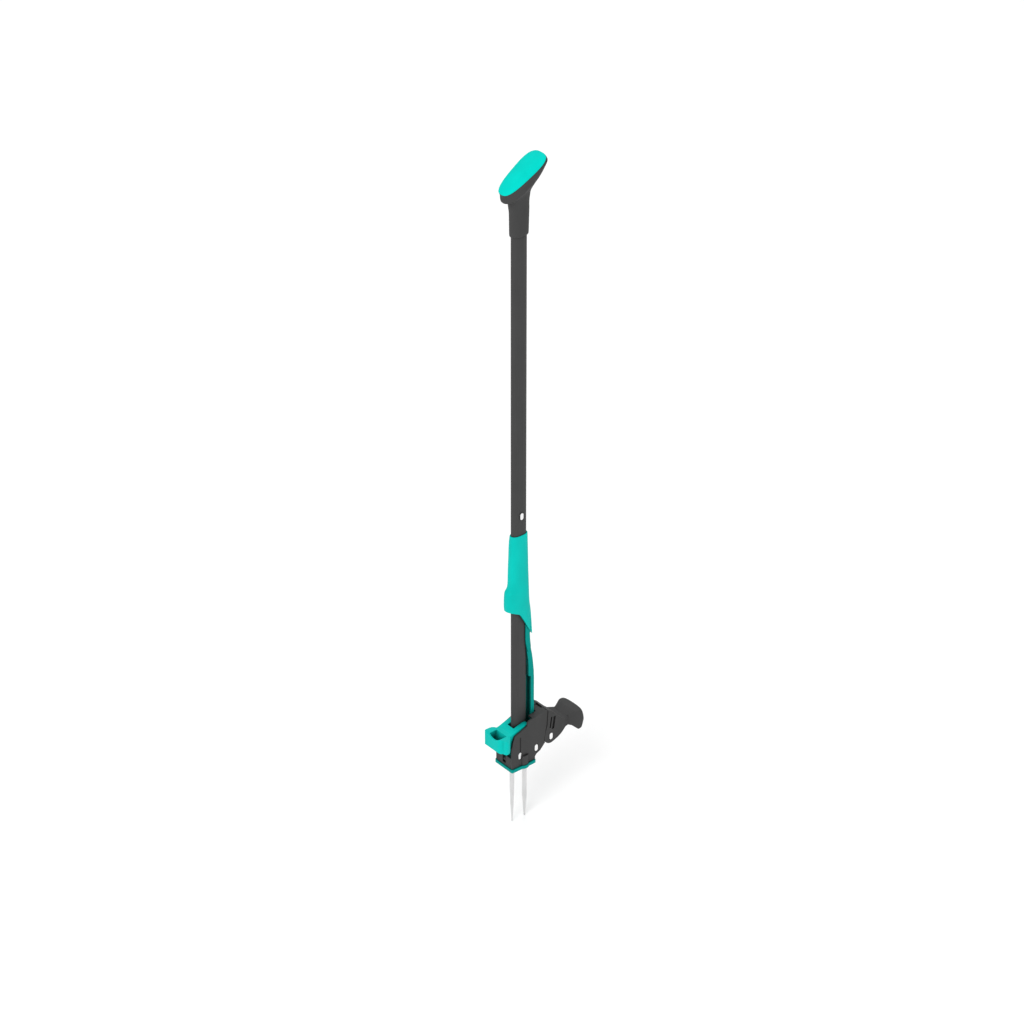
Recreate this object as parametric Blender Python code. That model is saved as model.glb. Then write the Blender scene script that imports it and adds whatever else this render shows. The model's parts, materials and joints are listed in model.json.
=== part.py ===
"""Stand-up weeder: a long-handled weed puller with two closing tines, a foot pedal and a sliding ejector.

The weeder stands upright. Z runs up the shaft, the tine tips are at Z = 0, the pedal points to +X and the
yoke to -X. Outlines and sizes below are in millimetres and become metres when a mesh is made.
"""

import math

import bmesh
import bpy
from mathutils import Matrix, Vector

MM = 0.001
GAP = 0.3                                # clearance between touching pieces

# shaft
TUBE_HALF_X = 13.0
TUBE_HALF_Y = 6.25
TUBE_FLAT = 8.0                          # width of the flat stretch on each broad side
TUBE_WALL = 1.3
TUBE_BOTTOM = 150.0
TUBE_TOP = 1010.0
ANCHOR_Z = 533.0                         # cross pin that holds the ejector spring
SLOT_Z = (271.0, 360.0)                  # slot in the rear of the tube for the ejector's hook

# head
WALL_OUT = 18.5                          # outer face of the housing walls, from the middle plane
WALL_IN = 16.0
FLOOR_Z = (110.5, 113.0)
PIN_R = 3.0
BORE_R = PIN_R + GAP
JAW_PIN = (-11.3, 127.4)                 # X and Z of the front jaw's pivot
REAR_PIN = (19.0, 129.8)
PEDAL_PIN = (47.7, 137.8)
LOBE_R = 12.1                            # round front of the pedal about its pin
TUBE_BOLTS = ((-5.0, 159.0), (6.0, 159.0))
SHELL_SCREWS = ((-22.3, 118.5), (2.0, 144.0), (33.0, 181.5))
LINK_JAW = (21.0, 161.9)                 # link's pivot on the rear jaw
LINK_PEDAL = (47.7, 145.0)               # link's pivot on the pedal
LINK_Y = (6.7, 8.5)
TRUNNION_R = 1.8
SPRING_X = 33.0                          # pedal spring's axis

# tines
TINE_X = 12.0                            # each tine's distance from the shaft's axis
TINE_THICK = 1.8
TINE_HALF_Y = 4.4
TINE_ROOT_Z = 122.5
TINE_RIVET_Z = 118.0

# ejector
PLATE_Z = (104.5, 109.7)
PLATE_HALF_Y = 20.2
ROD_HALF_Y = 6.2
ROD_IN = 19.0                            # the straight rod's front and rear faces
ROD_OUT = 24.8
SADDLE_HALF_Y = 7.5                      # the rod's upper end, which hugs the tube
SLEEVE_TOP = 501.0
HOOK_Z = (352.0, 358.0)
ROD_SCREW_Z = 362.0

# handle
GRIP_TILT = math.radians(30.8)
GRIP_CENTRE = (4.9, 1065.8)              # X and Z of the middle of the seam between core and pad
PAD_HALF_LENGTH = 40.8
PAD_HALF_WIDTH = 18.0
PAD_POWER = 3.0
PAD_TAPER = 0.18                         # the pad is this share wider than its middle at the rear end
COLLAR_Z = 979.0
HANDLE_SCREW_Z = 995.0

ROUND = 24                               # sides of pins and bores
SMALL = 16                               # sides of screws and their holes
OVAL_STEPS = 8                           # steps in each rounded end of the tube's section


# ---------------------------------------------------------------- meshes

def mesh_object(name, points, faces):
    mesh = bpy.data.meshes.new(name)
    mesh.from_pydata([Vector(p) * MM for p in points], [], faces)
    work = bmesh.new()
    work.from_mesh(mesh)
    bmesh.ops.recalc_face_normals(work, faces=work.faces)
    work.to_mesh(mesh)
    work.free()
    piece = bpy.data.objects.new(name, mesh)
    bpy.context.scene.collection.objects.link(piece)
    return piece


def loft(name, rings):
    """A closed solid through rings with the same number of points."""
    count = len(rings[0])
    points = [p for ring in rings for p in ring]
    faces = [tuple(range(count)), tuple(range(len(points) - count, len(points)))]
    for level in range(len(rings) - 1):
        for i in range(count):
            j = (i + 1) % count
            low, high = level * count, (level + 1) * count
            faces.append((low + i, low + j, high + j, high + i))
    return mesh_object(name, points, faces)


def prism(name, outline, low, high, axis="Y"):
    """Extrudes an outline along an axis. It is (x, z) along Y, (x, y) along Z and (y, z) along X."""
    place = {
        "Y": lambda p, t: (p[0], t, p[1]),
        "Z": lambda p, t: (p[0], p[1], t),
        "X": lambda p, t: (t, p[0], p[1]),
    }[axis]
    return loft(name, [[place(p, t) for p in outline] for t in (low, high)])


def box(name, x, y, z):
    return prism(name, [(x[0], z[0]), (x[1], z[0]), (x[1], z[1]), (x[0], z[1])], y[0], y[1])


def arc(centre, radius, start, end, steps):
    """Points on an arc, with its angles in degrees."""
    angles = [math.radians(start + (end - start) * i / steps) for i in range(steps + 1)]
    return [(centre[0] + radius * math.cos(a), centre[1] + radius * math.sin(a)) for a in angles]


def circle(centre, radius, sides=ROUND):
    return arc(centre, radius, 0, 360, sides)[:-1]


def obround(centre, half_width, half_height, steps=8):
    """An upright slot shape: two half circles joined by straight sides."""
    rise = half_height - half_width
    top = arc((centre[0], centre[1] + rise), half_width, 0, 180, steps)
    return top + arc((centre[0], centre[1] - rise), half_width, 180, 360, steps)


def rod_y(name, centre, radius, low, high, sides=ROUND):
    return prism(name, circle(centre, radius, sides), low, high)


def oval(grow=0.0):
    """The tube's flat-sided oval section, grown by a distance."""
    half_flat = TUBE_FLAT / 2
    reach = TUBE_HALF_X - half_flat + grow
    rise = TUBE_HALF_Y + grow
    points = []
    for side, start in ((1, -90), (-1, 90)):
        for i in range(OVAL_STEPS + 1):
            a = math.radians(start + 180 * i / OVAL_STEPS)
            points.append((side * half_flat + reach * math.cos(a), rise * math.sin(a)))
    return points


def super_oval(front, rear, half, power, steps=36):
    """A rounded section with its own reach to the front (-X) and to the rear (+X)."""
    points = []
    for i in range(steps):
        a = 2 * math.pi * i / steps
        c, s = math.cos(a), math.sin(a)
        reach = rear if c > 0 else front
        x = math.copysign(abs(c) ** (2 / power), c) * reach
        points.append((x, math.copysign(abs(s) ** (2 / power), s) * half))
    return points


def bake(piece):
    bpy.context.view_layer.update()
    graph = bpy.context.evaluated_depsgraph_get()
    mesh = bpy.data.meshes.new_from_object(piece.evaluated_get(graph))
    piece.modifiers.clear()
    piece.data = mesh


def combine(operation, target, tools):
    for tool in tools:
        modifier = target.modifiers.new(operation, "BOOLEAN")
        modifier.operation = operation
        modifier.solver = "EXACT"
        modifier.object = tool
        bake(target)
        bpy.data.objects.remove(tool)
    return target


def join(target, *tools):
    return combine("UNION", target, tools)


def cut(target, *tools):
    return combine("DIFFERENCE", target, tools)


def on_side(side, low, high):
    """A span of distances from the middle plane as a span of Y on one side."""
    return (low, high) if side > 0 else (-high, -low)


# ---------------------------------------------------------------- materials and bodies

PAINTS = {
    "shaft_paint": ((0.068, 0.068, 0.068), 0.42, 0.0),
    "dark_plastic": ((0.062, 0.062, 0.062), 0.55, 0.0),
    "teal_plastic": ((0.002, 0.52, 0.45), 0.42, 0.0),
    "teal_soft": ((0.0, 0.62, 0.55), 0.6, 0.0),
    "stainless": ((0.72, 0.72, 0.72), 0.28, 1.0),
    "zinc": ((0.62, 0.63, 0.64), 0.35, 1.0),
    "acetal": ((0.8, 0.8, 0.78), 0.4, 0.0),
}


def paint(piece, name):
    material = bpy.data.materials.get(name)
    if material is None:
        colour, roughness, metallic = PAINTS[name]
        material = bpy.data.materials.new(name)
        material.use_nodes = True
        shader = material.node_tree.nodes["Principled BSDF"]
        shader.inputs["Base Color"].default_value = (*colour, 1)
        shader.inputs["Roughness"].default_value = roughness
        shader.inputs["Metallic"].default_value = metallic
    piece.data.materials.clear()
    piece.data.materials.append(material)


def body(name, x=0.0, z=0.0):
    """An empty on a moving body's joint axis, which carries the body's pieces."""
    empty = bpy.data.objects.new(name, None)
    empty.location = Vector((x, 0, z)) * MM
    bpy.context.scene.collection.objects.link(empty)
    return empty


def finish(piece, material, carrier, smooth=35):
    piece.data.shade_smooth()
    piece.data.set_sharp_from_angle(angle=math.radians(smooth))
    paint(piece, material)
    bpy.context.view_layer.update()
    piece.parent = carrier
    piece.matrix_parent_inverse = carrier.matrix_world.inverted()
    return piece


# ---------------------------------------------------------------- shaft

def make_tube(carrier):
    tube = prism("tube", oval(), TUBE_BOTTOM, TUBE_TOP, "Z")
    cut(tube, prism("bore", oval(-TUBE_WALL), TUBE_BOTTOM - 1, TUBE_TOP + 1, "Z"))
    cut(tube, box("slot", (8, 16), (-2.2, 2.2), SLOT_Z))
    cut(tube, rod_y("anchor_hole", (0, ANCHOR_Z), 2.3, -8, 8, SMALL))
    for i, centre in enumerate(TUBE_BOLTS):
        cut(tube, rod_y(f"bolt_hole_{i}", centre, 2.2, -8, 8, SMALL))
    cut(tube, prism("screw_hole", circle((0, HANDLE_SCREW_Z), 2.1, SMALL), 8, 16, "X"))
    return finish(tube, "shaft_paint", carrier)


def make_spring_anchor(carrier):
    """Cross pin with an upright flat head on each side of the tube."""
    pin = rod_y("spring_anchor", (0, ANCHOR_Z), 2.0, -7.0, 7.0, SMALL)
    for side in (1, -1):
        face = TUBE_HALF_Y + GAP
        head = obround((0, ANCHOR_Z), 2.8, 5.4)
        join(pin, prism("head", head, *on_side(side, face, face + 1.2)))
    return finish(pin, "zinc", carrier)


def make_spring_plug(carrier):
    plug = prism("spring_plug", circle((0, 0), 3.1, SMALL), ANCHOR_Z - 21, ANCHOR_Z + 5, "Z")
    cut(plug, rod_y("cross_hole", (0, ANCHOR_Z), 2.3, -5, 5, SMALL))
    return finish(plug, "acetal", carrier)


def coil(name, x, low, high, radius, wire, turns, steps=10):
    """A round-wire coil spring as a bevelled curve."""
    total = turns * steps
    curve = bpy.data.curves.new(name, "CURVE")
    curve.dimensions = "3D"
    curve.bevel_depth = wire * MM
    curve.bevel_resolution = 0
    curve.use_fill_caps = True
    line = curve.splines.new("POLY")
    line.points.add(total)
    for i, point in enumerate(line.points):
        a = 2 * math.pi * i / steps
        z = low + (high - low) * i / total
        place = Vector((x + radius * math.cos(a), radius * math.sin(a), z)) * MM
        point.co = (*place, 1)
    holder = bpy.data.objects.new(name + "_line", curve)
    bpy.context.scene.collection.objects.link(holder)
    bpy.context.view_layer.update()
    mesh = bpy.data.meshes.new_from_object(holder.evaluated_get(bpy.context.evaluated_depsgraph_get()))
    bpy.data.objects.remove(holder)
    spring = bpy.data.objects.new(name, mesh)
    bpy.context.scene.collection.objects.link(spring)
    return spring


def make_springs(carrier):
    ejector = coil("ejector_spring", 0, HOOK_Z[1] + 0.8, ANCHOR_Z - 2.8, 4.0, 0.4, 22)
    finish(ejector, "stainless", carrier)
    pedal = coil("pedal_spring", SPRING_X, 150.4, 175.8, 3.6, 0.55, 7)
    finish(pedal, "stainless", carrier)


# ---------------------------------------------------------------- handle

def tilted_ring(x, z, tilt, half_length, half_width, power=2.4):
    """A section of the handle, tilted up towards the rear."""
    a = math.radians(tilt)
    ring = super_oval(half_length, half_length, half_width, power)
    return [(x + u * math.cos(a), v, z + u * math.sin(a)) for u, v in ring]


def grip_ring(height, share=1.0, grow=0.0):
    """The pad's outline, scaled by a share and grown by a distance, at a height above the seam."""
    c, s = math.cos(GRIP_TILT), math.sin(GRIP_TILT)
    half_length = PAD_HALF_LENGTH * share + grow
    half_width = PAD_HALF_WIDTH * share + grow
    ring = []
    for u, v in super_oval(half_length, half_length, half_width, PAD_POWER):
        v *= 1 + PAD_TAPER * u / PAD_HALF_LENGTH
        ring.append((GRIP_CENTRE[0] + u * c - height * s, v, GRIP_CENTRE[1] + u * s + height * c))
    return ring


def make_handle_core(carrier):
    rings = [
        tilted_ring(0.2, COLLAR_Z - 2.5, 0, 13.9, 8.2),
        tilted_ring(0.2, COLLAR_Z + 1, 0, 14.7, 9.3),
        tilted_ring(0.3, 1000, 0, 15.0, 9.6),
        tilted_ring(0.4, 1013, 4, 15.4, 9.8),
        tilted_ring(-0.2, 1023, 10, 16.1, 10.1),
        tilted_ring(-0.1, 1031, 17, 17.6, 10.8),
        tilted_ring(0.3, 1038, 22, 20.4, 11.8),
        tilted_ring(1.6, 1045, 26, 30.4, 14.5),
        tilted_ring(5.2, 1052, 29, 38.2, 17.2),
        grip_ring(-4.0, grow=0.2),
        grip_ring(0.0, grow=0.3),
    ]
    core = loft("handle_core", rings)
    cut(core, prism("socket", oval(GAP), COLLAR_Z - 10, TUBE_TOP + GAP, "Z"))
    cut(core, prism("screw_hole", circle((0, HANDLE_SCREW_Z), 2.1, SMALL), 8, 30, "X"))
    cut(core, prism("screw_seat", circle((0, HANDLE_SCREW_Z), 3.8, SMALL), 14.2, 30, "X"))
    return finish(core, "dark_plastic", carrier)


def make_handle_pad(carrier):
    """The crowned soft pad on top of the grip."""
    levels = ((1.0, GAP), (1.0, 1.6), (0.965, 2.9), (0.88, 4.1), (0.7, 5.4), (0.4, 6.2), (0.12, 6.5))
    rings = [grip_ring(height, share) for share, height in levels]
    return finish(loft("handle_pad", rings), "teal_soft", carrier)


def make_handle_screw(carrier):
    screw = prism("handle_screw", circle((0, HANDLE_SCREW_Z), 1.8, SMALL), 9.5, 15.0, "X")
    join(screw, prism("head", circle((0, HANDLE_SCREW_Z), 3.4, SMALL), 14.5, 15.4, "X"))
    return finish(screw, "zinc", carrier)


# ---------------------------------------------------------------- housing

def housing_outline():
    """Side view of a housing wall. Its rear is hollowed round the pedal's lobe."""
    hollow = arc(PEDAL_PIN, LOBE_R + 0.8, 210, 150, 8)
    front = [(-21.5, 166.5), (-25, 158), (-27, 148), (-27, FLOOR_Z[0])]
    under = [(17, FLOOR_Z[0]), (17, 115), (20, 118.5), (27, 121.5)]
    top = [(40.7, 187), (30, 186), (14, 184), (6, 183), (3, 180), (2, 175), (-4.3, 172.6), (-12, 169.8)]
    return front + under + hollow + top


def bulge_outline(side, grow=0.0):
    """A rounded swelling low on the wall, seen from above."""
    base = WALL_OUT - 1
    ridge = [(-2.5 + (6.8 + grow) * math.cos(t), base + (4.2 + grow) * math.sin(t))
             for t in (math.pi * i / 10 for i in range(11))]
    return [(x, side * y) for x, y in ridge]


def make_housing(side, carrier):
    name = "housing_left" if side > 0 else "housing_right"
    deep = on_side(side, GAP / 2, WALL_IN + GAP)
    cover = [(13.9, 181), (30, 183), (40.2, 184), (40.5, 186.8), (30, 185.8), (13.9, 183.8)]
    shell = prism(name, housing_outline(), *on_side(side, WALL_IN, WALL_OUT))
    join(
        shell,
        prism("bulge", bulge_outline(side), FLOOR_Z[0], 126, "Z"),
        box("floor", (-18.7, 16.5), on_side(side, 7.5, WALL_IN + GAP), FLOOR_Z),
        box("toe_board", (-26.9, -18.5), deep, FLOOR_Z),
        box("front_sill", (-26.9, -24.4), deep, (FLOOR_Z[0], 113.6)),
        box("front_wall", (-26.9, -24.4), on_side(side, 3.6, WALL_IN + GAP), (FLOOR_Z[0], 128)),
        box("tube_pad", (-10, 11.5), on_side(side, TUBE_HALF_Y + GAP, WALL_IN + GAP), (152.5, 165.5)),
        prism("cover", cover, *on_side(side, 6.8, WALL_IN + GAP)),
        box("rear_wall", (32.4, 34.8), on_side(side, 8.9, WALL_IN + GAP), (128, 186)),
        box("spring_seat", (28, 38.6), deep, (176.4, 185.7)),
        rod_y("jaw_boss", JAW_PIN, 8.2, *on_side(side, 13.3, WALL_IN + GAP)),
        rod_y("rear_boss", REAR_PIN, 5.6, *on_side(side, 12.4, WALL_IN + GAP)),
    )
    ear = arc(PEDAL_PIN, 8.6, -90, 90, 12) + [(33, 146.4), (33, 129.2)]
    join(shell, prism("ear", ear, *on_side(side, 9.2, 13.6)))
    for centre in SHELL_SCREWS[:2]:
        join(shell, rod_y("screw_boss", centre, 3.4, *deep, sides=SMALL))
    cut(
        shell,
        rod_y("jaw_bore", JAW_PIN, BORE_R, *on_side(side, 8, 25)),
        rod_y("rear_bore", REAR_PIN, BORE_R, *on_side(side, 8, 25)),
        rod_y("pedal_bore", PEDAL_PIN, BORE_R, *on_side(side, 8, 25)),
        prism("jaw_pocket", obround(JAW_PIN, 3.3, 6.3), *on_side(side, 16.0, 25)),
        prism("rear_pocket", obround(REAR_PIN, 3.3, 6.3), *on_side(side, 17.3, 25)),
        box("groove", (-12.6, -10), on_side(side, 17.7, 25), (135, 161)),
    )
    if side > 0:
        cut(shell, rod_y("clip_room", JAW_PIN, 6.0, 18.6, 25))
    for centre in (*TUBE_BOLTS, *SHELL_SCREWS):
        hole_r = 2.2 if centre in TUBE_BOLTS else 1.7
        if side > 0:
            hole = rod_y("screw_hole", centre, hole_r, -1, 25, SMALL)
            seat = rod_y("screw_seat", centre, hole_r + 1.8, 16.8, 25, SMALL)
            cut(shell, hole, seat)
        else:
            cut(shell, rod_y("screw_hole", centre, hole_r, -14.6, 1, SMALL))
    return finish(shell, "dark_plastic", carrier)


def make_screw(name, centre, radius, carrier):
    """A housing screw, its head in the left shell and its tip in the right one."""
    screw = rod_y(name, centre, radius, -14.0, 17.5, SMALL)
    join(screw, rod_y("head", centre, radius + 1.8, 17.1, 18.4, SMALL))
    cut(screw, box("slot", (centre[0] - 0.5, centre[0] + 0.5), (17.8, 19), (centre[1] - 9, centre[1] + 9)))
    return finish(screw, "zinc", carrier)


def make_pin(name, centre, head_y, far_y, carrier, side=-1):
    """A pivot pin with an upright flat-sided head on one side."""
    head = prism("head", obround(centre, 2.9, 5.6), *on_side(side, head_y, head_y + 1.5))
    low, high = sorted((side * (head_y + 0.2), far_y))
    return finish(join(rod_y(name, centre, PIN_R, low, high), head), "stainless", carrier)


def make_clip(name, centre, low, carrier):
    """A retaining ring on a pin's far end."""
    ring = rod_y(name, centre, 5.2, low, low + 1.0)
    cut(ring, rod_y("eye", centre, BORE_R, low - 1, low + 2))
    cut(ring, box("mouth", (centre[0] - 1.6, centre[0] + 1.6), (low - 1, low + 2), (centre[1] - 8, centre[1])))
    return finish(ring, "stainless", carrier)


# ---------------------------------------------------------------- front jaw

def yoke_plan():
    """Plan of the yoke: a broad front block, rounder on its right, that narrows to pass between the walls."""
    neck = [(-33, 21.2), (-30.2, 18.4), (-28.6, 15.4), (-14.8, 15.4)]
    left = arc((-43.4, 18.4), 4.0, 180, 100, 5) + [(-38, 22.2)] + neck
    right = [(x, -y) for x, y in reversed(neck)] + [(-36.5, -22.7), (-39.3, -22.7), (-41.5, -21.7)]
    return left + right + arc((-36.2, -7.5), 11.2, 248, 188, 5)[1:]


def make_yoke(carrier):
    """Yoke, hub and tine holder in one moulding."""
    under = [(-14.8, 150), (-28, 147), (-31, 145.4), (-34, 145), (-45.5, 144.4), (-47, 145), (-48, 146.6)]
    over = [(-48, 165.6), (-47, 167.4), (-45, 168.4), (-30, 168.6), (-24, 169.6), (-14.8, 172.6)]
    arm = [(-15.4, 167.6), (-8, 167.4), (2, 169), (7.6, 170.6), (9, 173), (8, 175.6), (5, 176.8), (0, 176.3),
           (-8, 174.4), (-15.4, 172.4)]
    yoke = prism("yoke", yoke_plan(), 100, 190, "Z")
    combine("INTERSECT", yoke, [prism("side_view", under + over, -30, 30)])
    join(
        yoke,
        rod_y("hub", JAW_PIN, 7.0, -13, 13),
        prism("stem", [(-17, 124), (-29, 147.6), (-15.2, 153), (-6, 132)], -6.5, 6.5),
        box("finger", (-8, 6.5), (-4, 4), (129, 133)),
        box("tine_lug", (-17, -7.4), (-7, 7), (114.6, 125)),
    )
    for side in (1, -1):
        join(yoke, prism("arm", arm, *on_side(side, 7.0, 15.3)))
    cut(
        yoke,
        prism("recess", [(-44.6, 153), (-36.5, 153), (-32.5, 166), (-30.5, 172), (-45.2, 172)], -11.5, 11.5),
        prism("scoop", circle((0, 178), 14.5), -52, -40, "X"),
        rod_y("bore", JAW_PIN, BORE_R, -20, 20),
        box("tine_slot", (-TINE_X - 1.2, -TINE_X + 1.2), (-4.7, 4.7), (100, TINE_ROOT_Z + GAP)),
        prism("rivet_hole", circle((0, TINE_RIVET_Z), 1.8, SMALL), -18, -6, "X"),
    )
    return finish(yoke, "teal_plastic", carrier)


def make_tine(name, x, taper_start, tip_half, carrier):
    """A flat steel tine that narrows to its tip in width and in thickness."""
    sections = ((TINE_ROOT_Z, 1.0), (taper_start, 1.0), (taper_start * 0.45, 0.62), (0.0, tip_half / TINE_HALF_Y))
    rings = []
    for z, share in sections:
        half_y = TINE_HALF_Y * share
        half_x = TINE_THICK / 2 * (0.55 + 0.45 * share)
        rings.append([(x + u * half_x, v * half_y, z) for u, v in ((-1, -1), (1, -1), (1, 1), (-1, 1))])
    tine = loft(name, rings)
    cut(tine, prism("rivet_hole", circle((0, TINE_RIVET_Z), 1.8, SMALL), x - 4, x + 4, "X"))
    return finish(tine, "stainless", carrier)


def make_tine_rivet(name, low, high, carrier):
    return finish(prism(name, circle((0, TINE_RIVET_Z), 1.5, SMALL), low, high, "X"), "zinc", carrier)


# ---------------------------------------------------------------- rear jaw and links

def make_rear_jaw(carrier):
    """Forked rear jaw: a cross bar that holds the tine, two hubs, and two levers up to the links."""
    jaw = box("rear_jaw", (8, 15.4), (-12, 12), (114.6, 134))
    join(
        jaw,
        box("upper_lip", (0.5, 8.5), (-5, 5), (133.9, 136.8)),
        box("lower_lip", (0.5, 8.5), (-5, 5), (125.2, 128.1)),
        box("lip_back", (8, 12), (-5, 5), (125.2, 136.8)),
    )
    for side in (1, -1):
        lever = [(13.5, 123), (22, 124)] + arc(LINK_JAW, 4.2, 0, 180, 8) + [(13.5, 133)]
        join(jaw, rod_y("hub", REAR_PIN, 6.5, *on_side(side, 6.6, 12.1)))
        join(jaw, prism("lever", lever, *on_side(side, 8.9, 12.1)))
        join(jaw, rod_y("trunnion", LINK_JAW, TRUNNION_R, *on_side(side, LINK_Y[0], 9.5), sides=SMALL))
    for side in (1, -1):
        cut(jaw, rod_y("bore", REAR_PIN, BORE_R, *on_side(side, 5, 15)))
    cut(
        jaw,
        box("tine_slot", (TINE_X - 1.2, TINE_X + 1.2), (-4.7, 4.7), (100, TINE_ROOT_Z + GAP)),
        prism("rivet_hole", circle((0, TINE_RIVET_Z), 1.8, SMALL), 6, 18, "X"),
        box("rod_room", (15.7, 30), (-6.6, 6.6), (100, 170)),
    )
    return finish(jaw, "zinc", carrier)


def make_link(side, carrier):
    """A flat link that pulls the rear jaw's lever when the pedal goes down."""
    (x0, z0), (x1, z1) = LINK_JAW, LINK_PEDAL
    lean = math.degrees(math.atan2(z1 - z0, x1 - x0))
    outline = arc(LINK_PEDAL, 3.6, lean - 90, lean + 90, 10) + arc(LINK_JAW, 3.6, lean + 90, lean + 270, 10)
    name = "link_left" if side > 0 else "link_right"
    link = prism(name, outline, *on_side(side, *LINK_Y))
    for centre in (LINK_JAW, LINK_PEDAL):
        cut(link, rod_y("eye", centre, TRUNNION_R + 0.4, *on_side(side, 4, 10), sides=SMALL))
    return finish(link, "zinc", carrier)


# ---------------------------------------------------------------- pedal

def cheek_outline():
    lobe = arc(PEDAL_PIN, LOBE_R, 150, 290, 16)
    under = [(57, 128.4), (63, 130.9), (71.5, 136.2), (78, 141.2), (83, 141)]
    top = [(82.5, 156.6), (70, 160.6), (57, 172.2), (50, 181), (41.4, 187)]
    return lobe + under + top


SIDE_SLOTS = (
    ((45.0, 152.5), (47.6, 152.5), (50.3, 171.5), (47.9, 171.5)),
    ((49.6, 149.0), (53.8, 149.0), (57.0, 170.2), (52.4, 170.2)),
)


def paddle_plan():
    """Plan of the foot plate: a neck that flares to a broad rounded end."""
    edge = [(64, 16.6), (70, 15.6), (76, 15.0), (83, 15.9), (90, 19.6), (95, 23.0), (99, 25.0), (103, 25.5),
            (106.6, 24.2), (109, 20.4), (110.2, 13.8), (110.7, 6.5)]
    return edge + [(110.8, 0)] + [(x, -y) for x, y in reversed(edge)]


def make_pedal(carrier):
    pedal = prism("pedal", cheek_outline(), 14.0, 18.3)
    join(pedal, prism("near_cheek", cheek_outline(), -18.3, -14.0))
    for side in (1, -1):
        taper = [(68, side * 18.3), (84, side * 15.7), (84, side * 20), (68, side * 20)]
        cut(pedal, prism("taper", taper, 100, 200, "Z"))
    deck = [(41.4, 187), (50, 181), (57, 172.2), (70, 160.6), (80, 157.4),
            (80, 152.4), (71, 155), (57, 168), (49.5, 176.5), (41.4, 182)]
    profile = [(62, 146), (75, 141), (82, 141.6), (88, 139.2), (96.5, 131.4), (101.2, 133.4), (104.5, 141),
               (107, 146), (113, 149.5), (113, 163.4), (104, 162.6), (94, 161.4), (86, 158.9), (79, 157.1),
               (71, 159.2), (62, 166)]
    levels = ((120, 0), (148, 0), (153, 0.02), (157.5, 0.06), (160.6, 0.12), (162.8, 0.22))
    rings = [[(88 + (x - 88) * (1 - inset), y * (1 - inset), z) for x, y in paddle_plan()] for z, inset in levels]
    paddle = loft("paddle", rings)
    combine("INTERSECT", paddle, [prism("paddle_side", profile, -30, 30)])
    hollow = [(68 + (x - 64) * 0.87, y * 0.84) for x, y in paddle_plan()]
    cut(paddle, prism("underside", hollow, 100, 153.6, "Z"))
    join(
        pedal,
        prism("deck", deck, -14.5, 14.5),
        prism("face", [(40.6, 158), (43.6, 158), (44.6, 184), (41.5, 186)], -14.5, 14.5),
        rod_y("hub", PEDAL_PIN, 7.2, -6.3, 6.3),
        prism("post", [(42, 141), (53.4, 141), (58, 172), (50, 178.5), (44, 180)], -6.3, 6.3),
        prism("toe", [(28.6, 146.0), (28.6, 149.2), (43, 150.0), (44, 143)], -4.9, 4.9),
        paddle,
    )
    for side in (1, -1):
        join(pedal, rod_y("trunnion", LINK_PEDAL, TRUNNION_R, *on_side(side, 6, LINK_Y[1]), sides=SMALL))
    cut(
        pedal,
        rod_y("bore", PEDAL_PIN, BORE_R, -25, 25),
        prism("head_pocket", obround(PEDAL_PIN, 3.3, 6.3), -25, -17.1),
    )
    for side in (1, -1):
        for slot in SIDE_SLOTS:
            cut(pedal, prism("side_slot", slot, *on_side(side, 16.2, 25)))
        step = [(38.6, 190), (42.6, 190), (41.0, 160), (37.2, 147.5), (34.8, 147.5), (36, 160)]
        cut(pedal, prism("step", step, *on_side(side, 17.5, 25)))
    return finish(pedal, "dark_plastic", carrier)


# ---------------------------------------------------------------- ejector

def make_sleeve(carrier):
    """Hand sleeve with a thumb flange in front and a tail over the push rod."""
    sections = (
        (SLEEVE_TOP, 14.1, 14.7, 7.7), (496, 14.9, 14.8, 8.1), (487, 15.8, 14.9, 8.4), (462, 16.7, 15.4, 8.8),
        (445, 17.4, 15.7, 9.1), (420, 18.0, 16.5, 9.5), (412.5, 20.2, 16.6, 9.9), (408, 23.7, 16.6, 10.4),
        (397, 24.6, 16.8, 10.8), (384, 24.7, 17.6, 11.0), (376, 23.6, 18.9, 10.8), (370, 22.0, 19.9, 10.6),
        (356, 21.0, 21.5, 10.2), (338, 21.0, 23.1, 9.6), (318, 21.0, 24.4, 9.2),
    )
    rings = [[(x, y, z) for x, y in super_oval(front, rear, half, 2.5)] for z, front, rear, half in sections]
    sleeve = loft("sleeve", rings)
    below = [(-40, 310), (-40, 381), (-24, 378.2), (-16, 375.2), (-6.7, 371), (-2.9, 366.8), (2.7, 356.7),
             (10.3, 342.3), (19, 327.6), (30, 316), (30, 310)]
    tail = [(6.8, 300), (16.5, 300), (16.5, 352.5), (6.8, 352.5)]
    bore = prism("bore", oval(0.4), 290, 520, "Z")
    join(
        bore,
        prism("tail_room", tail, -SADDLE_HALF_Y - 0.4, SADDLE_HALF_Y + 0.4),
        box("rod_room", (8.5, 17.9), (-5.4, 5.4), (344.5, 370)),
    )
    cut(
        sleeve,
        prism("lower_cut", below, -20, 20),
        bore,
        prism("screw_hole", circle((0, ROD_SCREW_Z), 1.9, SMALL), 12, 30, "X"),
        prism("screw_seat", circle((0, ROD_SCREW_Z), 3.6, SMALL), 19.3, 30, "X"),
    )
    return finish(sleeve, "teal_plastic", carrier)


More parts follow.
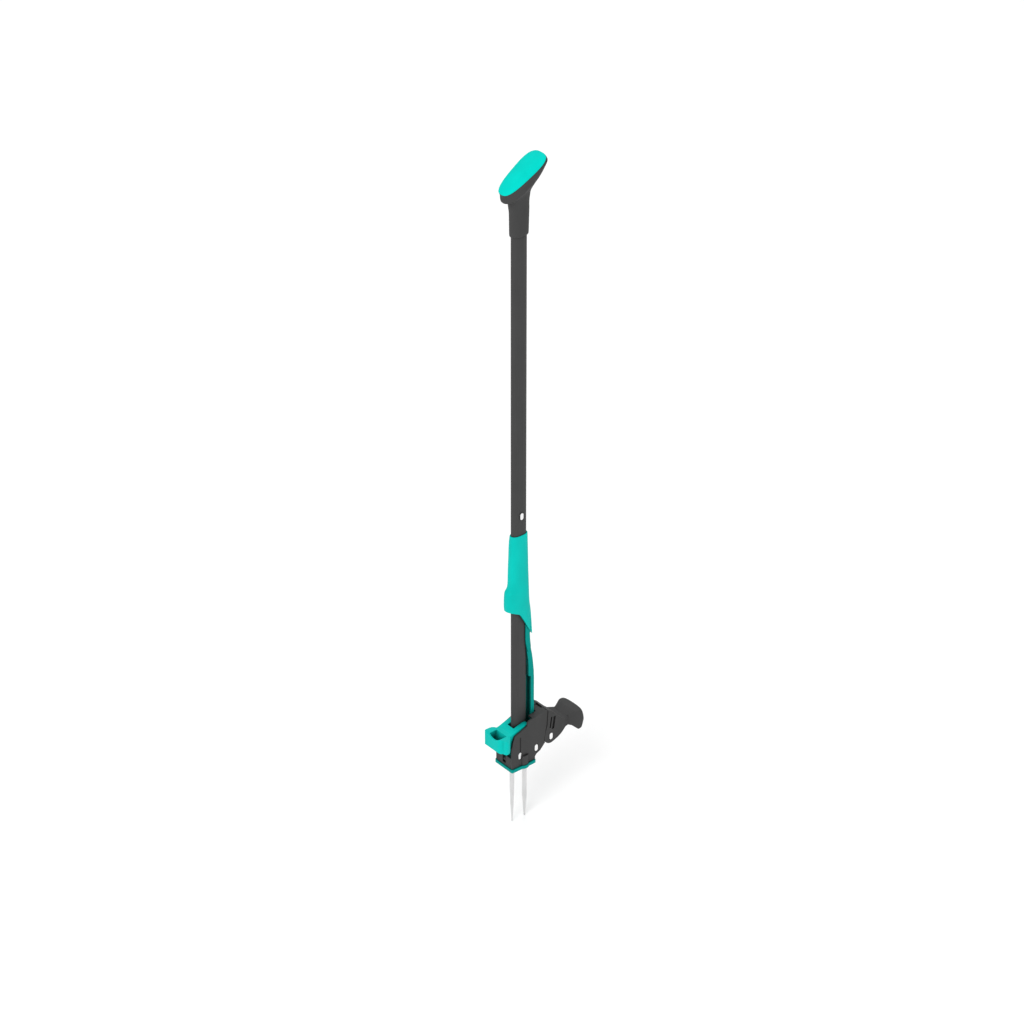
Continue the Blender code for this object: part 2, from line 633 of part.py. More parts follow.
def make_push_rod(carrier):
    """Push rod behind the tube: a channel open to the front, a hugging upper end and a hook for the spring."""
    bend = [(16.0, 326), (16.8, 316), (18.6, 301), (21.0, 289), (22.9, 274), (24.3, 259), (ROD_OUT, 246)]
    shin = [(ROD_OUT, 110.2), (ROD_IN, 110.2), (ROD_IN, 251), (14.6, 253), (14.5, 268)]
    hug = [(13.9, 282), (12, 293), (10, 304), (8, 314), (7.4, 320), (7.4, 350)]
    wide = prism("push_rod", [(16.0, 350)] + bend + shin + hug, -ROD_HALF_Y, ROD_HALF_Y)
    saddle = [(7.4, 349), (7.4, 321), (8.2, 314.5), (10, 305), (12.4, 297), (17.6, 305), (16.4, 316), (15.7, 326),
              (15.7, 349)]
    rod = join(wide, prism("saddle", saddle, -SADDLE_HALF_Y, SADDLE_HALF_Y))
    cut(
        rod,
        prism("tube_room", oval(0.5), 100, 420, "Z"),
        box("channel", (ROD_IN - 5, 23.2), (-4.6, 4.6), (124.5, 249)),
    )
    join(
        rod,
        box("block", (13.8, 17.6), (-5, 5), (345, 368)),
        box("hook", (0, 14.5), (-1.8, 1.8), HOOK_Z),
        prism("stud", circle((0, 0), 3.1, SMALL), HOOK_Z[0], 374, "Z"),
    )
    cut(
        rod,
        prism("screw_hole", circle((0, ROD_SCREW_Z), 1.9, SMALL), 14.6, 30, "X"),
        prism("plate_hole", circle((21.9, 0), 1.9, SMALL), 100, 123, "Z"),
    )
    return finish(rod, "teal_plastic", carrier)


def make_rod_screw(carrier):
    screw = prism("rod_screw", circle((0, ROD_SCREW_Z), 1.6, SMALL), 15.0, 20.0, "X")
    join(screw, prism("head", circle((0, ROD_SCREW_Z), 3.2, SMALL), 19.6, 20.8, "X"))
    return finish(screw, "zinc", carrier)


def make_ejector_plate(carrier):
    """Plate under the housing that pushes the weed off the tines."""
    half = PLATE_HALF_Y
    right = [(x, y) for x, y in bulge_outline(1, 1.0) if y > half - 0.1]
    side = [(-27, half), (-28.3, half - 1.5)]
    upper = [(17.5, half - 1), (16.5, half)] + right + side
    lower = [(x, -y) for x, y in reversed(upper)]
    tongue = [(17.5, -7), (27, -7), (28, -6), (28, 6), (27, 7), (17.5, 7)]
    plate = prism("ejector_plate", tongue + upper + lower, *PLATE_Z, "Z")
    cut(
        plate,
        box("tine_slot", (-14.8, 14.8), (-5.4, 5.4), (100, 115)),
        prism("screw_hole", circle((21.9, 0), 1.9, SMALL), 100, 115, "Z"),
        prism("screw_seat", circle((21.9, 0), 3.5, SMALL), 100, 106.4, "Z"),
    )
    return finish(plate, "teal_plastic", carrier)


def make_plate_screw(carrier):
    screw = prism("plate_screw", circle((21.9, 0), 1.6, SMALL), 105.5, 121, "Z")
    join(screw, prism("head", circle((21.9, 0), 3.1, SMALL), 104.8, 106.1, "Z"))
    return finish(screw, "zinc", carrier)


# ---------------------------------------------------------------- assembly

def clear_scene():
    for item in list(bpy.data.objects):
        bpy.data.objects.remove(item)


def main():
    clear_scene()
    frame = body("frame_body")
    make_tube(frame)
    make_spring_anchor(frame)
    make_spring_plug(frame)
    make_springs(frame)
    make_handle_core(frame)
    make_handle_pad(frame)
    make_handle_screw(frame)
    make_housing(1, frame)
    make_housing(-1, frame)
    for i, centre in enumerate(TUBE_BOLTS):
        make_screw(f"tube_bolt_{i + 1}", centre, 1.9, frame)
    for i, centre in enumerate(SHELL_SCREWS):
        make_screw(f"shell_screw_{i + 1}", centre, 1.4, frame)
    make_pin("jaw_pin", JAW_PIN, 16.2, 20.4, frame)
    make_pin("rear_pin_right", REAR_PIN, 17.5, -6.7, frame)
    make_pin("rear_pin_left", REAR_PIN, 17.5, 6.7, frame, side=1)
    make_clip("jaw_pin_clip", JAW_PIN, 18.9, frame)

    front_jaw = body("front_jaw_body", *JAW_PIN)
    make_yoke(front_jaw)
    make_tine("front_tine", -TINE_X, 62.0, 0.7, front_jaw)
    make_tine_rivet("front_tine_rivet", -16.9, -7.5, front_jaw)

    rear_jaw = body("rear_jaw_body", *REAR_PIN)
    make_rear_jaw(rear_jaw)
    make_tine("rear_tine", TINE_X, 34.0, 1.1, rear_jaw)
    make_tine_rivet("rear_tine_rivet", 8.1, 15.3, rear_jaw)

    links = body("link_body", *LINK_PEDAL)
    make_link(1, links)
    make_link(-1, links)

    pedal = body("pedal_body", *PEDAL_PIN)
    make_pedal(pedal)
    make_pin("pedal_pin", PEDAL_PIN, 17.4, 20.2, pedal)
    make_clip("pedal_pin_clip", PEDAL_PIN, 18.7, pedal)

    ejector = body("ejector_body")
    make_sleeve(ejector)
    make_push_rod(ejector)
    make_rod_screw(ejector)
    make_ejector_plate(ejector)
    make_plate_screw(ejector)


main()
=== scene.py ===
"""Looks for the stand-up weeder: smooth grip, sleeve and springs, rounded edges and procedural materials.

The frame's own axes hold throughout: Z up the shaft, the pedal to +X and the yoke to -X. The camera, floor,
lamps and materials are in metres. The mesh helpers and the pieces made with them are in millimetres.
"""

import json
import math

import bmesh
import bpy
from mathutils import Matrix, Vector


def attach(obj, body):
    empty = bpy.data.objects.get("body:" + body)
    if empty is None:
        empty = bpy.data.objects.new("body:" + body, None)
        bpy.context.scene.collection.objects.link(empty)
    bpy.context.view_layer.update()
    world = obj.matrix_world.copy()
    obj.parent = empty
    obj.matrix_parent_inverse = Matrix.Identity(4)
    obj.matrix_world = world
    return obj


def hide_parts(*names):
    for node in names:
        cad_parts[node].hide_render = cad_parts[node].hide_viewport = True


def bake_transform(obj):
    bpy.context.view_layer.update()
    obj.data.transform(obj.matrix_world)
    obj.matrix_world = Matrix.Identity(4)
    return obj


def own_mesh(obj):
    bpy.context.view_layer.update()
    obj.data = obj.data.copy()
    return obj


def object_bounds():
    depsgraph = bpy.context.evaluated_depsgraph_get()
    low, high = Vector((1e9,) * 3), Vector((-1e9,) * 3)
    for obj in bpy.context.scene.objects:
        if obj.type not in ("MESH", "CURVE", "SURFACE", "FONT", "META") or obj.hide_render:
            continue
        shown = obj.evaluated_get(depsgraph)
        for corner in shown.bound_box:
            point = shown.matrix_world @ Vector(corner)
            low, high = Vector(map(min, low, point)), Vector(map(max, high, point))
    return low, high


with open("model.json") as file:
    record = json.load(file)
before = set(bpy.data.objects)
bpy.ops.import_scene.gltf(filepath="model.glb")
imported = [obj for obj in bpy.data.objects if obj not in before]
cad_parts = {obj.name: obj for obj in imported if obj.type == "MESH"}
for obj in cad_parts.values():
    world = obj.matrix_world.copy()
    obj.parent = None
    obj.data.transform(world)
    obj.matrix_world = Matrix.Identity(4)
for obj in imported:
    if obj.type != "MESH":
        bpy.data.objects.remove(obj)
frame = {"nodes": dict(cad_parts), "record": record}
CAD_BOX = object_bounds()
NODES = frame["nodes"]
MM = 0.001


# ---------------------------------------------------------------- camera, floor and light

TARGET = Vector((0.0, 0.0, 0.537))
SIDE_SHIFT = 0.0092                      # moves the camera to its left
DISTANCE = 4.867
AZIMUTH = math.radians(-39.5)
ELEVATION = math.radians(31.5)
FOCAL = 120.66
SENSOR = 36
FAR_CLIP = 60

SKY_STRENGTH = 0.82
LAMPS = (                                # name, position, diameter and power
    ("key", (-3.2, -1.6, 3.6), 2.6, 84),
    ("fill", (1.4, -3.8, 2.2), 2.4, 10),
    ("back", (2.2, 3.0, 3.0), 2.4, 26),
)
LAMP_AIM = Vector((0, 0, 0.5))

FLOOR_HALF = 14.0
FLOOR_DROP = 0.0006                      # keeps the floor just below the tips


def add_camera():
    right = Vector((math.cos(AZIMUTH), math.sin(AZIMUTH), 0))
    back = Vector((
        math.sin(AZIMUTH) * math.cos(ELEVATION),
        -math.cos(AZIMUTH) * math.cos(ELEVATION),
        math.sin(ELEVATION),
    ))
    data = bpy.data.cameras.new("camera")
    data.lens = FOCAL
    data.sensor_width = SENSOR
    data.clip_end = FAR_CLIP
    camera = bpy.data.objects.new("camera", data)
    camera.location = TARGET - SIDE_SHIFT * right + DISTANCE * back
    camera.rotation_euler = (-back).to_track_quat("-Z", "Y").to_euler()
    bpy.context.scene.collection.objects.link(camera)
    bpy.context.scene.camera = camera


def add_lamp(name, position, size, power):
    data = bpy.data.lights.new(name, "AREA")
    data.shape = "DISK"
    data.size = size
    data.energy = power
    lamp = bpy.data.objects.new(name, data)
    lamp.location = position
    lamp.rotation_euler = (LAMP_AIM - Vector(position)).to_track_quat("-Z", "Y").to_euler()
    bpy.context.scene.collection.objects.link(lamp)


def add_light():
    world = bpy.data.worlds.new("studio")
    world.use_nodes = True
    sky = world.node_tree.nodes["Background"]
    sky.inputs["Color"].default_value = (1, 1, 1, 1)
    sky.inputs["Strength"].default_value = SKY_STRENGTH
    bpy.context.scene.world = world
    for lamp in LAMPS:
        add_lamp(*lamp)
    bpy.context.scene.view_settings.view_transform = "Standard"


def add_floor():
    mesh = bpy.data.meshes.new("floor")
    low = CAD_BOX[0][2] - FLOOR_DROP
    signs = ((-1, -1), (1, -1), (1, 1), (-1, 1))
    corners = [(x * FLOOR_HALF, y * FLOOR_HALF, low) for x, y in signs]
    mesh.from_pydata(corners, [], [(0, 1, 2, 3)])
    floor = bpy.data.objects.new("floor", mesh)
    bpy.context.scene.collection.objects.link(floor)
    tree = Tree("floor")
    grain = tree.noise(6.0, detail=3)
    tree.colour(tree.tint((0.97, 0.97, 0.97), (0.99, 0.99, 0.99), grain))
    tree.shader.inputs["Roughness"].default_value = 0.9
    tree.shader.inputs["Specular IOR Level"].default_value = 0.1
    mesh.materials.append(tree.material)


# ---------------------------------------------------------------- materials

PLASTIC_EDGE = 0.0005                    # how far a paler edge reaches in, in metres; the paleness is a painted highlight with some wear
METAL_EDGE = 0.0003
PLASTIC_SHADE_REACH = 0.014                   # how near another surface has to be for painted shade to darken a recess
PAINT_SHADE_REACH = 0.006
METAL_SHADE_REACH = 0.004


class Tree:
    """A material's node tree, with short calls for the nodes used here."""

    def __init__(self, name):
        self.material = bpy.data.materials.new(name)
        self.material.use_nodes = True
        self.nodes = self.material.node_tree.nodes
        self.links = self.material.node_tree.links
        self.shader = self.nodes["Principled BSDF"]
        self.position = self.nodes.new("ShaderNodeTexCoord").outputs["Object"]

    def noise(self, scale, detail=2.0, stretch=(1, 1, 1), rough=0.5):
        """Noise with features about 1 / scale metres across."""
        mapping = self.nodes.new("ShaderNodeMapping")
        mapping.inputs["Scale"].default_value = [scale * s for s in stretch]
        self.links.new(self.position, mapping.inputs["Vector"])
        noise = self.nodes.new("ShaderNodeTexNoise")
        noise.inputs["Scale"].default_value = 1.0
        noise.inputs["Detail"].default_value = detail
        noise.inputs["Roughness"].default_value = rough
        self.links.new(mapping.outputs["Vector"], noise.inputs["Vector"])
        return noise.outputs["Fac"]

    def span(self, value, low, high, start=0.3, end=0.7):
        """Maps a value from start..end to low..high."""
        ranged = self.nodes.new("ShaderNodeMapRange")
        for socket, number in (("From Min", start), ("From Max", end), ("To Min", low), ("To Max", high)):
            ranged.inputs[socket].default_value = number
        self.links.new(value, ranged.inputs["Value"])
        return ranged.outputs["Result"]

    def tint(self, first, second, factor):
        """Mixes two colours, given as three numbers or as a socket."""
        mix = self.nodes.new("ShaderNodeMix")
        mix.data_type = "RGBA"
        for socket, value in ((mix.inputs[6], first), (mix.inputs[7], second)):
            if isinstance(value, tuple):
                socket.default_value = (*value, 1)
            else:
                self.links.new(value, socket)
        self.links.new(factor, mix.inputs[0])
        return mix.outputs[2]

    def edges(self, radius):
        """How sharply the surface turns within a radius: 0 on open faces, 1 on an edge."""
        bevel = self.nodes.new("ShaderNodeBevel")
        bevel.samples = 4
        bevel.inputs["Radius"].default_value = radius
        flat = self.nodes.new("ShaderNodeNewGeometry").outputs["Normal"]
        dot = self.nodes.new("ShaderNodeVectorMath")
        dot.operation = "DOT_PRODUCT"
        self.links.new(bevel.outputs["Normal"], dot.inputs[0])
        self.links.new(flat, dot.inputs[1])
        return self.span(dot.outputs["Value"], 1.0, 0.0, 0.75, 0.99)

    def painted_shade_mask(self, distance):
        """How open the surface is within a distance: 1 on open faces, towards 0 in seams and recesses; the
        mask for painted shade.
        """
        occlusion = self.nodes.new("ShaderNodeAmbientOcclusion")
        occlusion.samples = 6
        occlusion.inputs["Distance"].default_value = distance
        return self.span(occlusion.outputs["AO"], 0, 1, 0.3, 0.92)

    def colour(self, value):
        self.links.new(value, self.shader.inputs["Base Color"])

    def roughness(self, value):
        self.links.new(value, self.shader.inputs["Roughness"])

    def bump(self, height, strength, distance, below=None):
        bump = self.nodes.new("ShaderNodeBump")
        bump.inputs["Strength"].default_value = strength
        bump.inputs["Distance"].default_value = distance
        self.links.new(height, bump.inputs["Height"])
        if below is not None:
            self.links.new(below, bump.inputs["Normal"])
        self.links.new(bump.outputs["Normal"], self.shader.inputs["Normal"])
        return bump.outputs["Normal"]


def shade(colour, factor):
    """A colour made lighter or darker, with no channel over 1."""
    return tuple(min(1.0, c * factor) for c in colour)


def moulded(name, colour, roughness, grain, edge_highlight_and_wear, specular):
    """Moulded plastic: a fine mould texture, soft flow marks, edges paler from a painted highlight and
    wear, and painted shade in seams and recesses.
    """
    tree = Tree(name)
    flow = tree.noise(38.0, detail=3, stretch=(1, 1, 0.45))
    dust = tree.noise(420.0, detail=4)
    texture = tree.noise(2600.0, detail=2)
    base = tree.tint(shade(colour, 0.93), shade(colour, 1.07), tree.span(flow, 0, 1))
    base = tree.tint(base, shade(colour, 1.22), tree.span(dust, 0, 0.5, 0.58, 0.8))
    # paler edges: a painted highlight along the edges, with some wear
    base = tree.tint(base, shade(colour, edge_highlight_and_wear), tree.edges(PLASTIC_EDGE))
    # painted shade: darker towards seams and recesses, where less light reaches
    tree.colour(tree.tint(shade(colour, 0.16), base, tree.painted_shade_mask(PLASTIC_SHADE_REACH)))
    tree.roughness(tree.span(dust, roughness - 0.05, roughness + 0.06))
    tree.shader.inputs["Specular IOR Level"].default_value = specular
    swell = tree.bump(flow, 0.25, 0.00025)
    tree.bump(texture, grain, 0.00006, swell)
    return tree.material


def painted_tube(name, colour, specular):
    """Satin paint over a drawn tube: faint lengthwise draw lines, orange peel, rubbed edges with a painted
    highlight on them, and painted shade in recesses.
    """
    tree = Tree(name)
    lines = tree.noise(900.0, detail=3, stretch=(1, 1, 0.012))
    peel = tree.noise(1500.0, detail=2)
    patches = tree.noise(16.0, detail=4)
    base = tree.tint(shade(colour, 0.92), shade(colour, 1.1), tree.span(patches, 0, 1))
    base = tree.tint(base, shade(colour, 1.3), tree.span(lines, 0, 0.6, 0.55, 0.85))
    # paler edges: rubbed paint with a painted highlight along them
    base = tree.tint(base, shade(colour, 1.7), tree.edges(METAL_EDGE))
    # painted shade: darker towards seams and recesses
    tree.colour(tree.tint(shade(colour, 0.3), base, tree.painted_shade_mask(PAINT_SHADE_REACH)))
    tree.roughness(tree.span(patches, 0.46, 0.58))
    tree.shader.inputs["Specular IOR Level"].default_value = specular
    along = tree.bump(lines, 0.2, 0.00008)
    tree.bump(peel, 0.22, 0.00006, along)
    return tree.material


def brushed(name, colour, roughness, stretch, scale=1400.0, specks=0.12):
    """Brushed or drawn metal with streaks along one way, a few darker specks, edges paler from a painted
    highlight and wear, and painted shade in recesses.
    """
    tree = Tree(name)
    streaks = tree.noise(scale, detail=4, stretch=stretch, rough=0.65)
    cloud = tree.noise(60.0, detail=4)
    pits = tree.noise(900.0, detail=2)
    base = tree.tint(shade(colour, 0.84), shade(colour, 1.08), tree.span(streaks, 0, 1))
    base = tree.tint(base, shade(colour, 0.78), tree.span(cloud, 0, 0.4, 0.45, 0.75))
    base = tree.tint(base, shade(colour, 0.5), tree.span(pits, 0, specks, 0.66, 0.8))
    # paler edges: a painted highlight along the edges, with some wear
    base = tree.tint(base, shade(colour, 1.25), tree.edges(METAL_EDGE))
    # painted shade: darker towards seams and recesses
    tree.colour(tree.tint(shade(colour, 0.4), base, tree.painted_shade_mask(METAL_SHADE_REACH)))
    tree.roughness(tree.span(streaks, roughness - 0.07, roughness + 0.09))
    tree.shader.inputs["Metallic"].default_value = 1.0
    tree.bump(streaks, 0.35, 0.00005)
    return tree.material


LENGTHWISE = (1, 1, 0.02)
AROUND = (0.06, 1, 1)
EVEN = (1, 1, 1)

FINISHES = {
    "shaft_paint": lambda n: painted_tube(n, (0.047, 0.047, 0.047), 0.13),
    "dark_plastic": lambda n: moulded(n, (0.048, 0.048, 0.048), 0.62, 0.35, 1.25, 0.14),
    "teal_plastic": lambda n: moulded(n, (0.0012, 0.49, 0.43), 0.5, 0.14, 1.05, 0.05),
    # a darker copy of the teal plastic: painted shade for the push rod and ejector plate
    "teal_deep": lambda n: moulded(n, (0.0012, 0.27, 0.238), 0.5, 0.14, 1.05, 0.03),
    "teal_soft": lambda n: moulded(n, (0.0, 0.59, 0.51), 0.7, 0.5, 1.03, 0.04),
    "stainless": lambda n: brushed(n, (0.7, 0.7, 0.7), 0.34, LENGTHWISE),
    "pin_steel": lambda n: brushed(n, (0.93, 0.93, 0.93), 0.3, EVEN, scale=900.0, specks=0.05),
    "spring_steel": lambda n: brushed(n, (0.5, 0.5, 0.5), 0.32, AROUND),
    "jaw_steel": lambda n: brushed(n, (0.45, 0.46, 0.47), 0.42, EVEN, scale=500.0, specks=0.3),
    "zinc": lambda n: brushed(n, (0.62, 0.63, 0.64), 0.36, EVEN, scale=700.0),
    "acetal": lambda n: moulded(n, (0.8, 0.8, 0.78), 0.4, 0.1, 1.05, 0.4),
}

# Nodes that look different from the finish named by their material slot. The push rod and ejector plate get
# a darker copy of the teal plastic: painted shade.
OWN_LOOKS = {
    "jaw_pin": "pin_steel", "rear_pin_right": "pin_steel", "rear_pin_left": "pin_steel",
    "pedal_pin": "pin_steel", "spring_anchor": "pin_steel", "push_rod": "teal_deep",
    "ejector_plate": "teal_deep",
}


def paint_nodes(finishes):
    for part in frame["record"]["subparts"]:
        node = NODES[part["node"]]
        node.data.materials.clear()
        look = OWN_LOOKS.get(part["node"], part["material_slot"])
        node.data.materials.append(finishes[look])


# ---------------------------------------------------------------- mesh helpers

def mesh_object(name, points, faces):
    """A piece from points in millimetres, with its faces turned outwards."""
    mesh = bpy.data.meshes.new(name)
    mesh.from_pydata([Vector(p) * MM for p in points], [], faces)
    work = bmesh.new()
    work.from_mesh(mesh)
    bmesh.ops.recalc_face_normals(work, faces=work.faces)
    work.to_mesh(mesh)
    work.free()
    piece = bpy.data.objects.new(name, mesh)
    bpy.context.scene.collection.objects.link(piece)
    return piece


def loft(name, rings):
    """A closed solid through rings with the same number of points."""
    count = len(rings[0])
    points = [p for ring in rings for p in ring]
    faces = [tuple(range(count)), tuple(range(len(points) - count, len(points)))]
    for level in range(len(rings) - 1):
        for i in range(count):
            j = (i + 1) % count
            low, high = level * count, (level + 1) * count
            faces.append((low + i, low + j, high + j, high + i))
    return mesh_object(name, points, faces)


def prism(name, outline, low, high, axis="Y"):
    """An outline drawn out along an axis from low to high."""
    raised = {
        "Y": lambda p, t: (p[0], t, p[1]),
        "Z": lambda p, t: (p[0], p[1], t),
        "X": lambda p, t: (t, p[0], p[1]),
    }[axis]
    return loft(name, [[raised(p, t) for p in outline] for t in (low, high)])


def circle(centre, radius, sides=32):
    angles = [2 * math.pi * i / sides for i in range(sides)]
    return [(centre[0] + radius * math.cos(a), centre[1] + radius * math.sin(a)) for a in angles]


def oval(grow=0.0, steps=24):
    """The tube's flat-sided section, 26 x 12.5 mm, grown by a distance."""
    points = []
    for side, start in ((1, -90), (-1, 90)):
        for i in range(steps + 1):
            a = math.radians(start + 180 * i / steps)
            points.append((side * 4 + (9 + grow) * math.cos(a), (6.25 + grow) * math.sin(a)))
    return points


def super_oval(front, rear, half, power, steps=72):
    """An oval that reaches front, rear and half its width, squarer as the power rises."""
    points = []
    for i in range(steps):
        a = 2 * math.pi * i / steps
        c, s = math.cos(a), math.sin(a)
        x = math.copysign(abs(c) ** (2 / power), c) * (rear if c > 0 else front)
        points.append((x, math.copysign(abs(s) ** (2 / power), s) * half))
    return points


def blended(p, q, r, s, t):
    """The Catmull-Rom value a share t of the way from q to r."""
    square = (2 * p - 5 * q + 4 * r - s) * t * t
    cube = (3 * q - p - 3 * r + s) * t ** 3
    return 0.5 * (2 * q + (r - p) * t + square + cube)


def between(rings, steps):
    """Rings with smooth ones added between them, along a Catmull-Rom curve through each point."""
    result = []
    last = len(rings) - 1
    for k in range(last):
        before, start, end, after = (rings[min(max(k + d, 0), last)] for d in (-1, 0, 1, 2))
        for step in range(steps):
            t = step / steps
            ring = []
            for corners in zip(before, start, end, after):
                ring.append(tuple(blended(*numbers, t) for numbers in zip(*corners)))
            result.append(ring)
    result.append(rings[-1])
    return result


def cut(target, *tools):
    """Takes each tool away from the target and removes the tool."""
    for tool in tools:
        modifier = target.modifiers.new("cut", "BOOLEAN")
        modifier.operation = "DIFFERENCE"
        modifier.solver = "EXACT"
        modifier.object = tool
        apply_modifiers(target)
        bpy.data.objects.remove(tool)


def apply_modifiers(piece):
    """Makes the piece's modified shape its mesh."""
    bpy.context.view_layer.update()
    graph = bpy.context.evaluated_depsgraph_get()
    mesh = bpy.data.meshes.new_from_object(piece.evaluated_get(graph))
    piece.modifiers.clear()
    piece.data = mesh


def round_edges(piece, width, segments=2, angle=38):
    """Rounds a piece's sharp edges in its geometry."""
    bevel = piece.modifiers.new("rounded", "BEVEL")
    bevel.width = width * MM
    bevel.segments = segments
    bevel.limit_method = "ANGLE"
    bevel.angle_limit = math.radians(angle)
    bevel.use_clamp_overlap = True
    bevel.miter_outer = "MITER_ARC"


SPRING_CREASE = 35                       # faces that meet at more than this many degrees stay creased
PIECE_CREASE = 50


def smooth(piece, angle):
    piece.data.shade_smooth()
    piece.data.set_sharp_from_angle(angle=math.radians(angle))


def place(piece, body, slot_name, replaced, finishes):
    """Smooths a piece, gives it its look in one material slot and its body, and hides the nodes that it
    stands in for.
    """
    smooth(piece, PIECE_CREASE)
    piece.data.materials.clear()
    piece.data.materials.append(finishes[slot_name])
    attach(piece, body)
    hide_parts(*replaced)


# ---------------------------------------------------------------- handle

GRIP_TILT = math.radians(30.8)
GRIP_CENTRE = (4.9, 1065.8)              # X and Z of the middle of the seam between core and pad
PAD_HALF = (40.8, 18.0)
PAD_POWER = 3.0
PAD_TAPER = 0.18                         # the pad is this share wider than its middle at the rear end
NECK_POWER = 2.4
HANDLE_SCREW_Z = 995.0


def tilted_ring(x, z, tilt, half_length, half_width):
    a = math.radians(tilt)
    ring = super_oval(half_length, half_length, half_width, NECK_POWER)
    return [(x + u * math.cos(a), v, z + u * math.sin(a)) for u, v in ring]


def grip_ring(height, share=1.0, grow=0.0):
    """The pad's outline, scaled by a share and grown by a distance, at a height above the seam."""
    c, s = math.cos(GRIP_TILT), math.sin(GRIP_TILT)
    half_length, half_width = (half * share + grow for half in PAD_HALF)
    ring = []
    for u, v in super_oval(half_length, half_length, half_width, PAD_POWER):
        v *= 1 + PAD_TAPER * u / PAD_HALF[0]
        ring.append((GRIP_CENTRE[0] + u * c - height * s, v, GRIP_CENTRE[1] + u * s + height * c))
    return ring


def make_handle_core(finishes):
    neck = [
        tilted_ring(0.2, 980, 0, 14.7, 9.3),
        tilted_ring(0.3, 1000, 0, 15.0, 9.6),
        tilted_ring(0.4, 1013, 4, 15.4, 9.8),
        tilted_ring(-0.2, 1023, 10, 16.1, 10.1),
        tilted_ring(-0.1, 1031, 17, 17.6, 10.8),
        tilted_ring(0.3, 1038, 22, 20.4, 11.8),
        tilted_ring(1.6, 1045, 26, 30.4, 14.5),
        tilted_ring(5.2, 1052, 29, 38.2, 17.2),
        grip_ring(-4.0, grow=0.2),
    ]
    lip = [tilted_ring(0.2, 976.5, 0, 13.9, 8.2), tilted_ring(0.2, 977.2, 0, 14.4, 8.9)]
    seam = [grip_ring(-0.6, grow=0.3), grip_ring(0.0, grow=-0.1)]
    core = loft("grip_core", lip + between(neck, 4) + seam)
    cut(
        core,
        prism("socket", oval(0.3), 960, 1010.3, "Z"),
        prism("screw_hole", circle((0, HANDLE_SCREW_Z), 2.1), 8, 30, "X"),
        prism("screw_seat", circle((0, HANDLE_SCREW_Z), 3.8), 14.2, 30, "X"),
    )
    round_edges(core, 0.35)
    place(core, "frame", "dark_plastic", ["handle_core"], finishes)


def make_handle_pad(finishes):
    crown = [(1.0, 1.6), (0.965, 2.9), (0.88, 4.1), (0.7, 5.4), (0.4, 6.2), (0.12, 6.5)]
    rings = between([grip_ring(height, share) for share, height in crown], 4)
    pad = loft("grip_pad", [grip_ring(0.3, 0.992), grip_ring(0.7, 1.0)] + rings)
    place(pad, "frame", "teal_soft", ["handle_pad"], finishes)


# ---------------------------------------------------------------- sleeve and springs

ROD_SCREW_Z = 362.0
SLEEVE_POWER = 2.5


def sleeve_ring(z, front, rear, half):
    return [(x, y, z) for x, y in super_oval(front, rear, half, SLEEVE_POWER)]


def make_sleeve(finishes):
    sections = (                         # height, reach to the front and rear, and half the width
        (500, 14.3, 14.75, 7.8), (496, 14.9, 14.8, 8.1), (487, 15.8, 14.9, 8.4), (462, 16.7, 15.4, 8.8),
        (445, 17.4, 15.7, 9.1), (420, 18.0, 16.5, 9.5), (412.5, 20.2, 16.6, 9.9), (408, 23.7, 16.6, 10.4),
        (397, 24.6, 16.8, 10.8), (384, 24.7, 17.6, 11.0), (376, 23.6, 18.9, 10.8), (370, 22.0, 19.9, 10.6),
        (356, 21.0, 21.5, 10.2), (338, 21.0, 23.1, 9.6), (318, 21.0, 24.4, 9.2),
    )
    rim = sleeve_ring(501.0, 13.9, 14.3, 7.4)
    sleeve = loft("hand_sleeve", [rim] + between([sleeve_ring(*section) for section in sections], 3))
    below = [(-40, 310), (-40, 381), (-24, 378.2), (-16, 375.2), (-6.7, 371), (-2.9, 366.8), (2.7, 356.7),
             (10.3, 342.3), (19, 327.6), (30, 316), (30, 310)]
    tail = [(6.8, 300), (16.5, 300), (16.5, 352.5), (6.8, 352.5)]
    rod_room = [(8.5, 344.5), (17.9, 344.5), (17.9, 370), (8.5, 370)]
    cut(
        sleeve,
        prism("lower_cut", below, -20, 20),
        prism("bore", oval(0.4), 290, 520, "Z"),
        prism("tail_room", tail, -7.9, 7.9),
        prism("rod_room", rod_room, -5.4, 5.4),
        prism("screw_hole", circle((0, ROD_SCREW_Z), 1.9), 12, 30, "X"),
        prism("screw_seat", circle((0, ROD_SCREW_Z), 3.6), 19.3, 30, "X"),
    )
    round_edges(sleeve, 0.5)
    place(sleeve, "ejector", "teal_plastic", ["sleeve"], finishes)


WIRE_SIDES = 8
CLOSED_PITCH = 2.1                       # rise of a closed turn, in wire radii


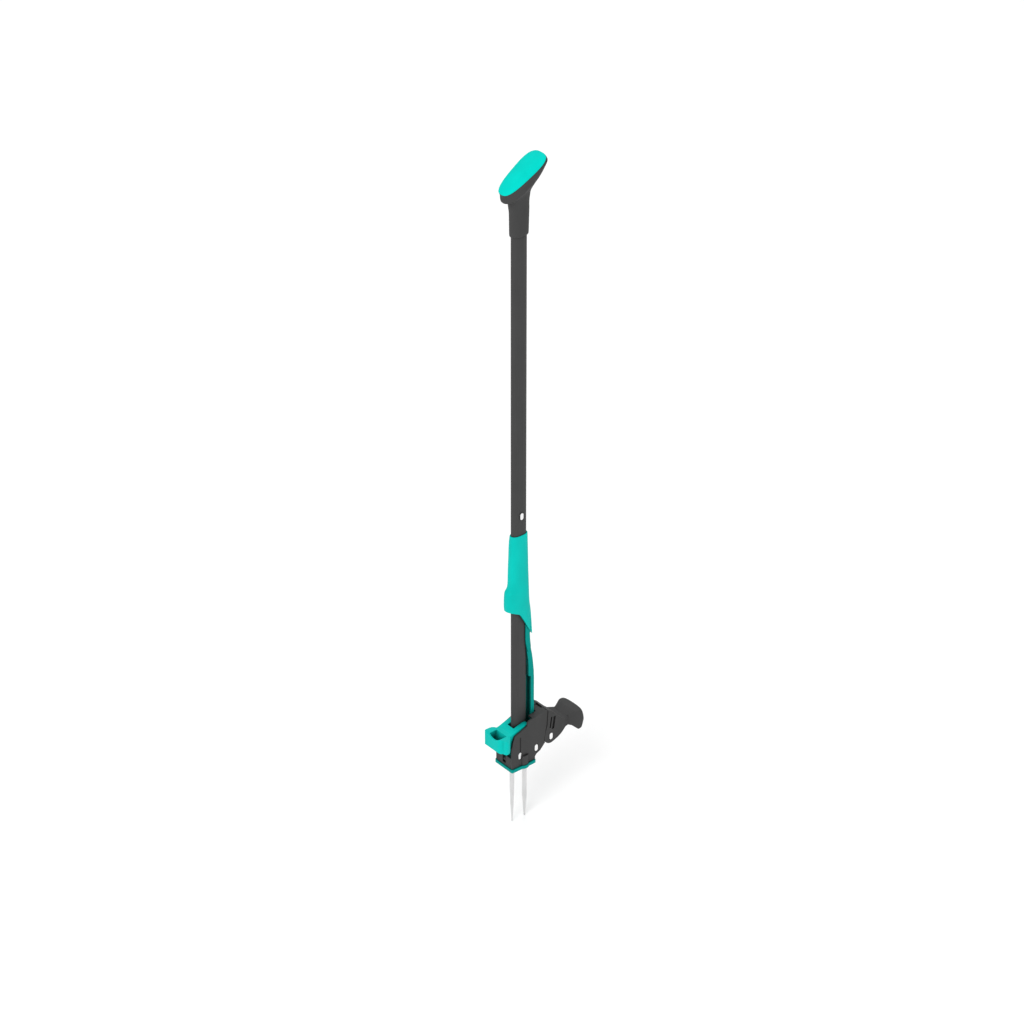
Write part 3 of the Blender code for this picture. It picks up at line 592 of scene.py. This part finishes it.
def coil(name, x, low, high, radius, wire, turns, ends=1.5, steps=24):
    """A round-wire coil with closed turns at both ends; wire is the wire's radius."""
    closed_rise = CLOSED_PITCH * wire
    pitch = (high - low - 2 * wire - 2 * ends * closed_rise) / (turns - 2 * ends)
    total = int(turns * steps)
    line = []
    for i in range(total + 1):
        turn = i / steps
        closed = min(turn, ends) + max(turn - turns + ends, 0)
        a = 2 * math.pi * turn
        z = low + wire + closed * closed_rise + (turn - closed) * pitch
        line.append(Vector((x + radius * math.cos(a), radius * math.sin(a), z)))
    rings = []
    for i, centre in enumerate(line):
        ahead = (line[min(i + 1, total)] - line[max(i - 1, 0)]).normalized()
        side = Vector((centre.x - x, centre.y, 0)).normalized()
        up = ahead.cross(side)
        corners = [2 * math.pi * k / WIRE_SIDES for k in range(WIRE_SIDES)]
        rings.append([tuple(centre + wire * (math.cos(a) * side + math.sin(a) * up)) for a in corners])
    return loft(name, rings)


ANCHOR_Z = 533.0                         # the cross pin that holds the return spring's upper stop
HOOK_TOP = 358.0                         # top of the rod's hook inside the tube
LONG_SPRING = (HOOK_TOP + 0.8, ANCHOR_Z - 2.8)
LONG_COIL = (4.0, 0.4, 40)               # radius, wire radius and turns
PEDAL_SPRING = (33.0, 150.4, 175.8)      # axis X, lower and upper end
PEDAL_COIL = (3.6, 0.55, 9)


def make_springs(finishes):
    low, high = LONG_SPRING
    long_spring = coil("return_spring", 0, low, high, *LONG_COIL)
    smooth(long_spring, SPRING_CREASE)
    long_spring.data.materials.append(finishes["spring_steel"])
    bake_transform(long_spring)
    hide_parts("ejector_spring")

    x, low, high = PEDAL_SPRING
    short_spring = coil("pedal_return_spring", x, low, high, *PEDAL_COIL)
    place(short_spring, "frame", "spring_steel", ["pedal_spring"], finishes)
    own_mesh(short_spring)


# ---------------------------------------------------------------- rounded edges of the other pieces

EDGE_WIDTHS = {                          # in millimetres
    "housing_left": 0.5, "housing_right": 0.5, "pedal": 0.7, "yoke": 0.8, "ejector_plate": 0.7,
    "rear_jaw": 0.5, "link_left": 0.25, "link_right": 0.25, "push_rod": 0.4, "front_tine": 0.2,
    "rear_tine": 0.2, "jaw_pin": 0.35, "rear_pin_right": 0.35, "rear_pin_left": 0.35, "pedal_pin": 0.35,
    "spring_anchor": 0.3, "jaw_pin_clip": 0.2, "pedal_pin_clip": 0.2,
}


def soften_nodes():
    for name, width in EDGE_WIDTHS.items():
        round_edges(NODES[name], width)


# ---------------------------------------------------------------- scene

def main():
    finishes = {name: make(name + "_look") for name, make in FINISHES.items()}
    paint_nodes(finishes)
    soften_nodes()
    make_handle_core(finishes)
    make_handle_pad(finishes)
    make_sleeve(finishes)
    make_springs(finishes)
    add_floor()
    add_light()
    add_camera()


main()
